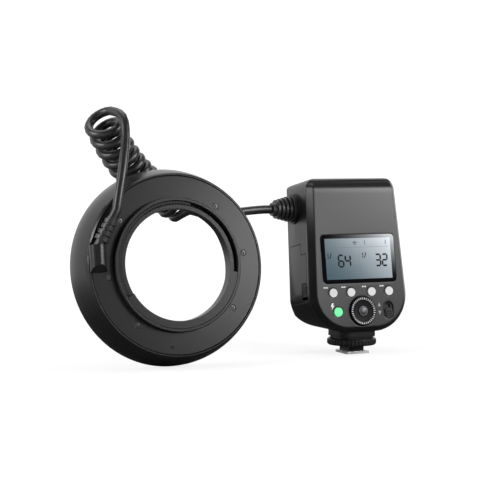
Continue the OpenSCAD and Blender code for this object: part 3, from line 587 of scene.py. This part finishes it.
def rolled_top(mesh, height):
    """Draws the shell's upper front edge back to a quarter ellipse that ends short of the seam."""
    start = SHELL_TOP - height
    bevel_start = SHELL_TOP - SHELL_BEVEL
    work = bmesh.new()
    work.from_mesh(mesh)
    for k in range(ROLL_STEPS):
        cut = PANEL @ Vector((0, 0, start + height * math.sin(math.pi / 2 * k / ROLL_STEPS)))
        whole = work.verts[:] + work.edges[:] + work.faces[:]
        bmesh.ops.bisect_plane(work, geom=whole, dist=PIECE_MERGE, plane_co=cut, plane_no=UPWARD)
    inverse = PANEL.inverted()
    for vert in work.verts:
        place = inverse @ vert.co
        if place.z <= start or place.y >= SHELL_SEAM:
            continue
        share = min(1.0, (place.z - start) / height)
        back = ROLL_DEPTH * (1 - math.sqrt(1 - share * share))
        bevel = SHELL_BEVEL_DEPTH * max(0.0, place.z - bevel_start) / SHELL_BEVEL
        place.y += (back - bevel) / (1 - bevel / SHELL_SEAM) * (1 - place.y / SHELL_SEAM)
        vert.co = PANEL @ place
    work.to_mesh(mesh)
    work.free()
    shade_round(mesh, CAD_SMOOTH)


def prism(outline, low, high, points, faces):
    """Adds a flat prism over an outline of (x, z) places, between two depths, to a mesh's lists."""
    start, count = len(points), len(outline)
    points += [(x, low, z) for x, z in outline] + [(x, high, z) for x, z in outline]
    faces.append(list(range(start, start + count)))
    faces.append(list(range(start + 2 * count - 1, start + count - 1, -1)))
    for i in range(count):
        j = (i + 1) % count
        faces.append([start + i, start + count + i, start + count + j, start + j])


def flat_marks(name, outlines, finish, matrix, face, height):
    """Thin printed marks on a face at a depth of a local frame."""
    points, faces = [], []
    for outline in outlines:
        prism(outline, face - height, face, points, faces)
    add_piece(name, solid_mesh(name, points, faces, matrix), finish, "flash")


def box_outline(x, z, w, h):
    return [(x - w / 2, z - h / 2), (x + w / 2, z - h / 2), (x + w / 2, z + h / 2), (x - w / 2, z + h / 2)]


def arc_outline(x, z, radius, parts, count):
    """A count of points round a middle, from its right, with so many parts to a half turn."""
    angles = [k * math.pi / parts for k in range(count)]
    return [(x + radius * math.cos(a), z + radius * math.sin(a)) for a in angles]


def stroke(x0, z0, x1, z1, t):
    """A straight bar with pointed ends, as a display's segment is cut."""
    d = Vector((x1 - x0, z1 - z0)).normalized()
    n = Vector((-d.y, d.x)) * t / 2
    a, b = Vector((x0, z0)), Vector((x1, z1))
    tip = d * t / 2
    corners = (a, a + tip - n, b - tip - n, b, b - tip + n, a + tip + n)
    return [tuple(corner) for corner in corners]


# The segments of the display's figures, and the gap at a segment's ends in stroke widths
SEGMENTS = {1: "bc", 2: "abged", 3: "abgcd", 4: "fgbc", 6: "afgedc"}
SEGMENT_GAP = 0.12


def digit(value, x, z, w, h, t):
    """Seven-segment strokes of one figure, centred on a place."""
    left, right, top, low = x - w / 2, x + w / 2, z + h / 2, z - h / 2
    gap = t * SEGMENT_GAP
    ends = {
        "a": (left + gap, top, right - gap, top),
        "b": (right, z + gap, right, top - gap),
        "c": (right, low + gap, right, z - gap),
        "d": (left + gap, low, right - gap, low),
        "e": (left, low + gap, left, z - gap),
        "f": (left, z + gap, left, top - gap),
        "g": (left + gap, z, right - gap, z),
    }
    return [stroke(*ends[s], t) for s in SEGMENTS[value]]


# The cord's route in metres: the curly part's middle line and the points of the two straight leads
CURL_FROM = Vector((-0.131, 0.025, 0.1145))
CURL_BEND = Vector((-0.172, 0.027, 0.130))
CURL_TO = Vector((-0.1995, 0.006, 0.177))
END_PHASE = math.radians(225)
CORD_STUB = 0.006
CONTROLLER_LEAD = (
    (-0.078, 0.0205, 0.109), (-0.095, 0.015, 0.1075), (-0.110, 0.009, 0.107), (-0.121, 0.0055, 0.108),
    (-0.1295, 0.004, 0.110))
RING_LEAD = (
    (-0.200, -0.031, 0.124), (-0.1957, -0.0265, 0.138), (-0.192, -0.021, 0.152),
    (-0.1885, -0.0145, 0.163))
CURL_POINTS = 20
CURL_CHORDS = 8
LEAD_STEPS = 3
EASE_PASSES = 3
CORD_ROUNDING = 4

# The tip of the controller's boot in the panel's frame and the ring's boot in the ring's, in millimetres
CONTROLLER_TIP = Vector((-57.3, 27, 42))
BOOT_ROOT = Vector((-58.1, 15.5, 3))
BOOT_LENGTH = 21
BOOT_TURN = math.radians(28.5)
BOOT_RISE = math.radians(8)
BOOT_WAY = Vector((
    math.sin(BOOT_TURN) * math.cos(BOOT_RISE),
    math.cos(BOOT_TURN) * math.cos(BOOT_RISE),
    math.sin(BOOT_RISE)))


def smooth_path(points):
    """The cord's smooth curve through its route's points, straight at both ends."""
    path = [points[0]]
    for i in range(1, len(points) - 2):
        a, b, c, d = points[i - 1:i + 3]
        square = 2 * a - 5 * b + 4 * c - d
        cube = 3 * b - a - 3 * c + d
        for k in range(LEAD_STEPS):
            t = k / LEAD_STEPS
            path.append(0.5 * (2 * b + (c - a) * t + square * t * t + cube * t ** 3))
    return path + [points[-2], points[-1]]


def eased(path, kept):
    """A path with its corners rounded, apart from the places that are kept."""
    for _ in range(EASE_PASSES):
        path = [p if i in kept else (path[i - 1] + 2 * p + path[i + 1]) / 4 for i, p in enumerate(path)]
    return path


def curl_place(t, sizes):
    """A place on the curly part, from 0 at the controller's end to 1 at the ring's."""
    axis = (1 - t) ** 2 * CURL_FROM + 2 * t * (1 - t) * CURL_BEND + t * t * CURL_TO
    way = ((1 - t) * (CURL_BEND - CURL_FROM) + t * (CURL_TO - CURL_BEND)).normalized()
    side = way.cross(Vector((0, 0, 1))).normalized()
    down = way.cross(side)
    a = END_PHASE + 2 * math.pi * sizes.curls * (1 - t)
    return axis + sizes.curl_radius * (math.cos(a) * side + math.sin(a) * down)


def cord_route(sizes):
    """The whole cord from the controller's boot to the ring's, in metres."""
    chord = 1 / round(sizes.curls * CURL_CHORDS)
    count = round(sizes.curls * CURL_POINTS)
    coil = [curl_place(k / count, sizes) for k in range(count + 1)]
    first = CORD_STUB * (coil[0] - curl_place(chord, sizes)).normalized()
    last = CORD_STUB * (coil[-1] - curl_place(1 - chord, sizes)).normalized()
    tip = PANEL @ CONTROLLER_TIP
    ring_tip = RING @ (BOOT_ROOT + BOOT_LENGTH * BOOT_WAY)
    ring_stub = CORD_STUB * (RING.to_3x3() @ BOOT_WAY).normalized()
    lead = [tip, tip - CORD_STUB * RIGHT] + [Vector(p) for p in CONTROLLER_LEAD]
    lead += [coil[0] + 2 * first, coil[0] + first]
    rise = [ring_tip, ring_tip + ring_stub] + [Vector(p) for p in RING_LEAD]
    rise += [coil[-1] + 2 * last, coil[-1] + last]
    lead, rise = smooth_path(lead), smooth_path(rise)[::-1]
    route = lead + coil + rise
    kept = {0, 1, len(route) - 2, len(route) - 1}
    kept.update(range(len(lead) + 2, len(lead) + len(coil) - 2))
    return eased(route, kept)


# The camera: its lens and sensor in millimetres, and its place about the point that it looks at, in metres
CAMERA_LENS = 115.3
CAMERA_SENSOR = 36.0
CAMERA_REACH = 50.0
CAMERA_TARGET = Vector((-85.65, 0, 80.69)) * MM
CAMERA_TURN = math.radians(-24.67)
CAMERA_RISE = math.radians(3.47)
CAMERA_AWAY = 1.1873

# The softboxes: name, place and size in metres, power in watts
SOFTBOXES = (
    ("key_softbox", (0.68, -0.632, 0.545), (0.60, 0.50), 9.5),
    ("ring_softbox", (0.12, -0.47, 0.18), (0.12, 0.14), 0.38),
    ("left_softbox", (-1.0, -0.04, 0.46), (0.42, 0.50), 6.0),
    ("top_softbox", (-0.10, 0.25, 1.05), (0.8, 0.6), 4.0),
)
LIGHT_AIM = Vector((-0.09, 0.0, 0.08))
ROOM_LEVEL = 0.14

# The white sheets: name, corners in metres, and the share of plain white that the eye sees close by
SHEETS = (
    ("floor", [(-6, -6, 0), (6, -6, 0), (6, 6, 0), (-6, 6, 0)], 0.75),
    ("backdrop", [(-5, 2.6, 0), (5, 2.6, 0), (5, 2.6, 4), (-5, 2.6, 4)], 1.0),
)
# The distance from the middle at which they start to turn plain white, and the stretch that it takes
SHEET_NEAR = 0.25
SHEET_FADE = 0.5
SHEET_GLOW = 1.12
SHEET_LIT = (0.8, 0.8, 0.8)
SHEET_MIRRORED = (0.04, 0.04, 0.04)


class FLASH_OT_stage(bpy.types.Operator):
    """Set up the camera, the soft studio light and the pale floor"""

    bl_idname = "flash.stage"
    bl_label = "Studio"

    def execute(self, context):
        scene = context.scene
        scene.view_settings.view_transform = "Standard"
        camera = bpy.data.objects.new("camera", bpy.data.cameras.new("camera"))
        camera.data.lens = CAMERA_LENS
        camera.data.sensor_width = CAMERA_SENSOR
        camera.data.clip_end = CAMERA_REACH
        level = math.cos(CAMERA_RISE)
        back = Vector((math.sin(CAMERA_TURN) * level, -math.cos(CAMERA_TURN) * level, math.sin(CAMERA_RISE)))
        camera.location = CAMERA_TARGET + back * CAMERA_AWAY
        camera.rotation_euler = (-back).to_track_quat("-Z", "Y").to_euler()
        scene.collection.objects.link(camera)
        scene.camera = camera
        for name, place, size, power in SOFTBOXES:
            self.light(scene, name, Vector(place), size, power)
        self.surround(scene)
        self.sweep(scene)
        return {"FINISHED"}

    def light(self, scene, name, place, size, power):
        lamp = bpy.data.lights.new(name, "AREA")
        lamp.shape = "RECTANGLE"
        lamp.size, lamp.size_y = size
        lamp.energy = power
        lamp_object = bpy.data.objects.new(name, lamp)
        lamp_object.location = place
        lamp_object.visible_camera = False
        lamp_object.rotation_euler = (LIGHT_AIM - place).to_track_quat("-Z", "Y").to_euler()
        scene.collection.objects.link(lamp_object)

    def surround(self, scene):
        """White to the eye, a dim room to the light."""
        world = bpy.data.worlds.new("surround")
        world.use_nodes = True
        scene.world = world
        graph = Graph(world.node_tree)
        seen = (graph.ray("Is Camera Ray") + graph.ray("Is Transmission Ray")).limited()
        level = ROOM_LEVEL + seen * (1.0 - ROOM_LEVEL)
        background = graph.tree.nodes["Background"]
        background.inputs["Color"].default_value = (1, 1, 1, 1)
        graph.tree.links.new(level.socket, background.inputs["Strength"])

    def sweep(self, scene):
        """White paper: a floor that keeps the shadow and a wall far behind that the case mirrors."""
        for name, corners, near_share in SHEETS:
            mesh = bpy.data.meshes.new(name)
            mesh.from_pydata(corners, [], [(0, 1, 2, 3)])
            finish = Finish(name + "_white", Roughness=0.9)
            seen, glossy = finish.ray("Is Camera Ray"), finish.ray("Is Glossy Ray")
            far = ((finish.away() - SHEET_NEAR) / SHEET_FADE).limited()
            finish.set(Base_Color=finish.mix(glossy, SHEET_LIT, SHEET_MIRRORED))
            paper = Value(finish, finish.shader.outputs[0])
            glow_and_painted_reflection = finish.node("ShaderNodeEmission", {}, {"Strength": SHEET_GLOW})
            amount = seen * (near_share + far * (1.0 - near_share)) + glossy * far
            blend = finish.node("ShaderNodeMixShader", {}, {0: amount, 1: paper, 2: glow_and_painted_reflection})
            finish.tree.links.new(blend.socket, finish.tree.nodes["Material Output"].inputs["Surface"])
            mesh.materials.append(finish.material)
            sheet = bpy.data.objects.new(name, mesh)
            scene.collection.objects.link(sheet)


class FLASH_OT_cord(bpy.types.Operator):
    """Lay the curly cord from the controller's boot to the ring's boot"""

    bl_idname = "flash.cord"
    bl_label = "Curly cord"

    def execute(self, context):
        sizes = context.scene.flash_sizes
        route = cord_route(sizes)
        curve = bpy.data.curves.new("curly_cord_line", "CURVE")
        curve.dimensions = "3D"
        curve.bevel_depth = sizes.cord_diameter / 2
        curve.bevel_resolution = CORD_ROUNDING
        curve.use_fill_caps = True
        spline = curve.splines.new("POLY")
        spline.points.add(len(route) - 1)
        for point, place in zip(spline.points, route):
            point.co = (*place, 1.0)
        spline.use_smooth = True
        curve.materials.append(FINISHES["cord"])
        piece = bpy.data.objects.new("cord", curve)
        context.scene.collection.objects.link(piece)
        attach(piece, "flash")
        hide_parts("controller_lead", "curly_cord", "ring_lead")
        length = sum((b - a).length for a, b in zip(route, route[1:]))
        return {"FINISHED"}


class FLASH_OT_cases(bpy.types.Operator):
    """Give every CAD node its finish, with smooth copies where curved faces show"""

    bl_idname = "flash.cases"
    bl_label = "Cases and inner parts"

    def execute(self, context):
        for node, finish in CAD_FINISH.items():
            if node in SMOOTHED:
                mesh = smoothed_copy(node)
                if node == "rear_shell":
                    rolled_top(mesh, context.scene.flash_sizes.top_roll / MM)
                add_piece(node + "_piece", mesh, finish, BODY_OF[node], (node,))
            else:
                coat(NODES[node].data, finish)
        return {"FINISHED"}


# What the display shows, in the panel's frame in millimetres: a figure's shape is the height of its middle,
# its width, its height and its stroke
DISPLAY_FACE = -0.2
FIGURES = ((6, -15.2), (4, -9.4), (3, 16.6), (2, 22.4))
FIGURE_SHAPE = (-1.6, 4.1, 8.6, 1.3)
FRACTIONS = (-26.0, 3.6)
FRACTION_ONE = -0.9
FRACTION_SHAPE = (2.4, 1.8, 4.2, 0.7)
SLASH_LEFT, SLASH_RIGHT = 1.3, 2.9
SLASH_LOW, SLASH_TOP = 0.1, 4.7
SLASH_STROKE = 0.65
RULE = (0, 8.6, 53, 0.18)
DASH_X, DASH_TOP, DASH_PITCH, DASH_COUNT = 0.6, 6.8, 1.6, 13
DASH_SIZE = (0.16, 0.9)
ICON_DOME = (-2.6, 11.6, 1.7, 6, 7)
ICON_BARS = ((-2.6, 10.8, 1.8, 0.7), (6.0, 12.0, 0.6, 3.4), (24.0, 12.0, 0.6, 3.4))


class FLASH_OT_display(bpy.types.Operator):
    """Draw the figures and lines of the display on its lens"""

    bl_idname = "flash.display"
    bl_label = "Display"

    def execute(self, context):
        height = context.scene.flash_sizes.print_height / MM
        figures = []
        for value, x in FIGURES:
            figures += digit(value, x, *FIGURE_SHAPE)
        for x in FRACTIONS:
            figures += digit(1, x + FRACTION_ONE, *FRACTION_SHAPE)
            figures.append(stroke(x + SLASH_LEFT, SLASH_LOW, x + SLASH_RIGHT, SLASH_TOP, SLASH_STROKE))
        lines = [box_outline(*RULE)]
        lines += [box_outline(DASH_X, DASH_TOP - DASH_PITCH * k, *DASH_SIZE) for k in range(DASH_COUNT)]
        icons = [arc_outline(*ICON_DOME)] + [box_outline(*bar) for bar in ICON_BARS]
        drawn = (
            ("display_figures", figures, "segment"),
            ("display_lines", lines, "faint"),
            ("display_icons", icons, "faint"))
        for name, outlines, finish in drawn:
            flat_marks(name, outlines, finish, PANEL, DISPLAY_FACE, height)
        return {"FINISHED"}


# The prints on the display side, in the panel's frame, and on the ring, in the ring's, in millimetres
BUTTON_PLACES = (-23.9, -8.8, 8.8, 23.9)
BUTTON_MARKS = ((-7.2, 1.1), (-6.0, 0.8), (-4.8, 1.1))
BUTTON_MARK_Z = -21.4
BUTTON_MARK_WIDTH = 0.8
BOLT = (
    (-25.6, -33.2), (-24.0, -33.2), (-24.8, -35.0), (-23.6, -35.0), (-26.0, -38.4), (-25.4, -35.9),
    (-26.6, -35.9))
SWITCH_ARROWS = (
    ((13.6, -36.9), (15.9, -36.9), (14.75, -33.9)),
    ((13.6, -40.4), (14.75, -43.4), (15.9, -40.4)))
RING_ARROW = ((-8.7, 57.0), (-5.7, 57.0), (-7.2, 59.4))
RING_DOTS = ((-58.0, -10.5), (57.5, 4.3))
RING_DOT_RADIUS = 0.9
RING_DOT_SIDES = 16


class FLASH_OT_prints(bpy.types.Operator):
    """Print the plain marks beside the buttons, the switch and on the ring"""

    bl_idname = "flash.prints"
    bl_label = "Printed marks"

    def execute(self, context):
        height = context.scene.flash_sizes.print_height / MM
        white = []
        for x in BUTTON_PLACES:
            for shift, tall in BUTTON_MARKS:
                white.append(box_outline(x + shift, BUTTON_MARK_Z, BUTTON_MARK_WIDTH, tall))
        grey = [RING_ARROW]
        for x, z in RING_DOTS:
            grey.append(arc_outline(x, z, RING_DOT_RADIUS, RING_DOT_SIDES / 2, RING_DOT_SIDES))
        flat_marks("panel_marks", white + [BOLT], "white", PANEL, 0.0, height)
        flat_marks("switch_arrows", SWITCH_ARROWS, "grey", PANEL, 0.0, height)
        flat_marks("ring_marks", grey, "grey", RING @ QUARTER_TURN, 0.0, height)
        return {"FINISHED"}


def repeated(name, template, places, finish, matrix):
    """A template mesh set at places (point, turn) by a node tree, as one plain mesh in the CAD's frame."""
    tree = bpy.data.node_groups.new(name + "_tree", "GeometryNodeTree")
    sockets = tree.interface
    kinds = {"Places": "Geometry", "Template": "Object", "Size": "Float", "Finish": "Material"}
    inputs = {}
    for key, kind in kinds.items():
        inputs[key] = sockets.new_socket(key, in_out="INPUT", socket_type="NodeSocket" + kind)
    sockets.new_socket("Result", in_out="OUTPUT", socket_type="NodeSocketGeometry")
    new, link = tree.nodes.new, tree.links.new
    source, result = new("NodeGroupInput"), new("NodeGroupOutput")
    info, spread = new("GeometryNodeObjectInfo"), new("GeometryNodeInstanceOnPoints")
    turn, euler = new("GeometryNodeInputNamedAttribute"), new("ShaderNodeCombineXYZ")
    real, coating = new("GeometryNodeRealizeInstances"), new("GeometryNodeSetMaterial")
    turn.data_type = "FLOAT"
    turn.inputs["Name"].default_value = "turn"
    link(source.outputs["Places"], spread.inputs["Points"])
    link(source.outputs["Template"], info.inputs["Object"])
    link(info.outputs["Geometry"], spread.inputs["Instance"])
    link(turn.outputs["Attribute"], euler.inputs["Z"])
    link(euler.outputs[0], spread.inputs["Rotation"])
    link(source.outputs["Size"], spread.inputs["Scale"])
    link(spread.outputs[0], real.inputs[0])
    link(real.outputs[0], coating.inputs["Geometry"])
    link(source.outputs["Finish"], coating.inputs["Material"])
    link(coating.outputs[0], result.inputs[0])
    carrier_mesh = bpy.data.meshes.new(name + "_places")
    carrier_mesh.from_pydata([p for p, _ in places], [], [])
    turns = carrier_mesh.attributes.new("turn", "FLOAT", "POINT")
    for i, (_, angle) in enumerate(places):
        turns.data[i].value = math.radians(angle)
    pattern = bpy.data.objects.new(name + "_template", template)
    carrier = bpy.data.objects.new(name + "_carrier", carrier_mesh)
    for item in (pattern, carrier):
        bpy.context.scene.collection.objects.link(item)
    modifier = carrier.modifiers.new("repeat", "NODES")
    modifier.node_group = tree
    modifier[inputs["Template"].identifier] = pattern
    modifier[inputs["Size"].identifier] = 1.0
    modifier[inputs["Finish"].identifier] = FINISHES[finish]
    carrier.update_tag()
    shown = carrier.evaluated_get(bpy.context.evaluated_depsgraph_get())
    mesh = bpy.data.meshes.new_from_object(shown)
    mesh.name = name
    mesh.transform(matrix)
    bpy.data.objects.remove(carrier)
    bpy.data.objects.remove(pattern)
    return mesh


def turned_points(profile, count):
    """Points and faces of a profile of (radius, height) turned round the height axis."""
    points, faces = [], []
    for k in range(count):
        a = 2 * math.pi * k / count
        points += [(r * math.cos(a), r * math.sin(a), h) for r, h in profile]
    n = len(profile)
    for k in range(count):
        for i in range(n - 1):
            j = (k + 1) % count
            faces.append([k * n + i, j * n + i, j * n + i + 1, k * n + i + 1])
    return points, faces


# The ring's screws, in the ring's frame in millimetres and degrees
SCREW_PROFILE = ((0, 0.12), (1.2, 0.1), (1.7, 0.0), (1.95, -0.2))
SCREW_SIDES = 24
CROSS_BAR = ((-1.15, -0.2), (1.15, -0.2), (1.15, 0.2), (-1.15, 0.2))
CROSS_LOW, CROSS_HIGH = 0.02, 0.14
SCREW_ANGLES = (8, 52, 142, 188, 232, 322)
SCREW_CIRCLE = 52
SCREW_SINK = -0.2
SCREW_TWIST = 3

# The dial's ticks and the dome of its button, from the dial's axis in millimetres
TICK_PROFILE = ((8.7, -0.36), (9.4, 0.0), (10.15, 0.0))
TICK_HALF_WIDTH = 0.26
TICK_LIFTS = (-0.05, 0.04)
TICK_FACES = (
    (6, 7, 10, 9), (7, 8, 11, 10), (0, 6, 9, 3), (8, 2, 5, 11), (0, 1, 7, 6), (1, 2, 8, 7),
    (4, 3, 9, 10), (5, 4, 10, 11), (0, 3, 4, 1), (1, 4, 5, 2))
DOME_PROFILE = ((0, 0.62), (0.9, 0.58), (1.8, 0.45), (2.6, 0.22), (3.1, -0.1))
DOME_SIDES = 40
DIAL_Z = -40
DIAL_FACE = -1.8
DOME_FACE = -1.6


def dial_frame(depth):
    """The dial's frame at a depth of the display side, with its height axis outwards."""
    return PANEL @ Matrix.Translation((0, depth, DIAL_Z)) @ QUARTER_TURN


class FLASH_OT_fasteners(bpy.types.Operator):
    """Set the ring's cross-head screws, the dial's ticks in the grey of a painted highlight and the dome of its
    button
    """

    bl_idname = "flash.fasteners"
    bl_label = "Screws and ticks"

    def execute(self, context):
        self.screws()
        self.ticks(context.scene.flash_sizes.tick_count)
        points, faces = turned_points(DOME_PROFILE, DOME_SIDES)
        dome = solid_mesh("set_dome", points, faces, dial_frame(DOME_FACE), DOME_SMOOTH)
        add_piece("set_dome", dome, "hub", "set_button")
        return {"FINISHED"}

    def screws(self):
        points, faces = turned_points(SCREW_PROFILE, SCREW_SIDES)
        for turn in (0, 90):
            c, s = math.cos(math.radians(turn)), math.sin(math.radians(turn))
            bar = [(x * c - y * s, x * s + y * c) for x, y in CROSS_BAR]
            low = len(points)
            high = low + len(bar)
            points += [(x, y, CROSS_LOW) for x, y in bar] + [(x, y, CROSS_HIGH) for x, y in bar]
            faces.append([high + i for i in range(4)])
            faces += [[low + i, low + (i + 1) % 4, high + (i + 1) % 4, high + i] for i in range(4)]
        head = bpy.data.meshes.new("screw_head")
        head.from_pydata(points, [], faces)
        places = []
        for angle in SCREW_ANGLES:
            a = math.radians(angle)
            place = (SCREW_CIRCLE * math.cos(a), SCREW_CIRCLE * math.sin(a), SCREW_SINK)
            places.append((place, angle * SCREW_TWIST))
        mesh = repeated("ring_screw_heads", head, places, "steel", RING)
        add_piece("ring_screw_heads", mesh, None, "flash")

    def ticks(self, count):
        sides = (-TICK_HALF_WIDTH, TICK_HALF_WIDTH)
        points = [(r, side, h + lift) for lift in TICK_LIFTS for side in sides for r, h in TICK_PROFILE]
        tick = bpy.data.meshes.new("dial_tick")
        tick.from_pydata(points, [], TICK_FACES)
        places = [((0, 0, 0), 360 * k / count) for k in range(count)]
        # The ticks' grey is a painted highlight
        mesh = repeated("dial_ticks", tick, places, "tick_painted_highlight", dial_frame(DIAL_FACE))
        add_piece("dial_ticks", mesh, None, "dial")


class FLASH_PT_pieces(bpy.types.Panel):
    """The ring flash's pieces"""

    bl_idname = "FLASH_PT_pieces"
    bl_label = "Ring flash"
    bl_space_type = "VIEW_3D"
    bl_region_type = "UI"
    bl_category = "Ring flash"

    def draw(self, context):
        for operator in OPERATORS:
            self.layout.operator(operator.bl_idname)
        for group in (context.scene.flash_sizes, context.scene.flash_colours):
            for key in group.__annotations__:
                self.layout.prop(group, key)


OPERATORS = (
    FLASH_OT_stage, FLASH_OT_cord, FLASH_OT_cases, FLASH_OT_display, FLASH_OT_prints, FLASH_OT_fasteners)
CLASSES = (FlashSizes, FlashColours) + OPERATORS + (FLASH_PT_pieces,)


def register():
    for item in CLASSES:
        bpy.utils.register_class(item)
    bpy.types.Scene.flash_sizes = PointerProperty(type=FlashSizes)
    bpy.types.Scene.flash_colours = PointerProperty(type=FlashColours)


def unregister():
    del bpy.types.Scene.flash_colours
    del bpy.types.Scene.flash_sizes
    for item in reversed(CLASSES):
        bpy.utils.unregister_class(item)


def main():
    register()
    make_finishes(bpy.context)
    bpy.ops.flash.stage()
    bpy.ops.flash.cord()
    bpy.ops.flash.cases()
    bpy.ops.flash.display()
    bpy.ops.flash.prints()
    bpy.ops.flash.fasteners()


if __name__ == "__main__":
    main()
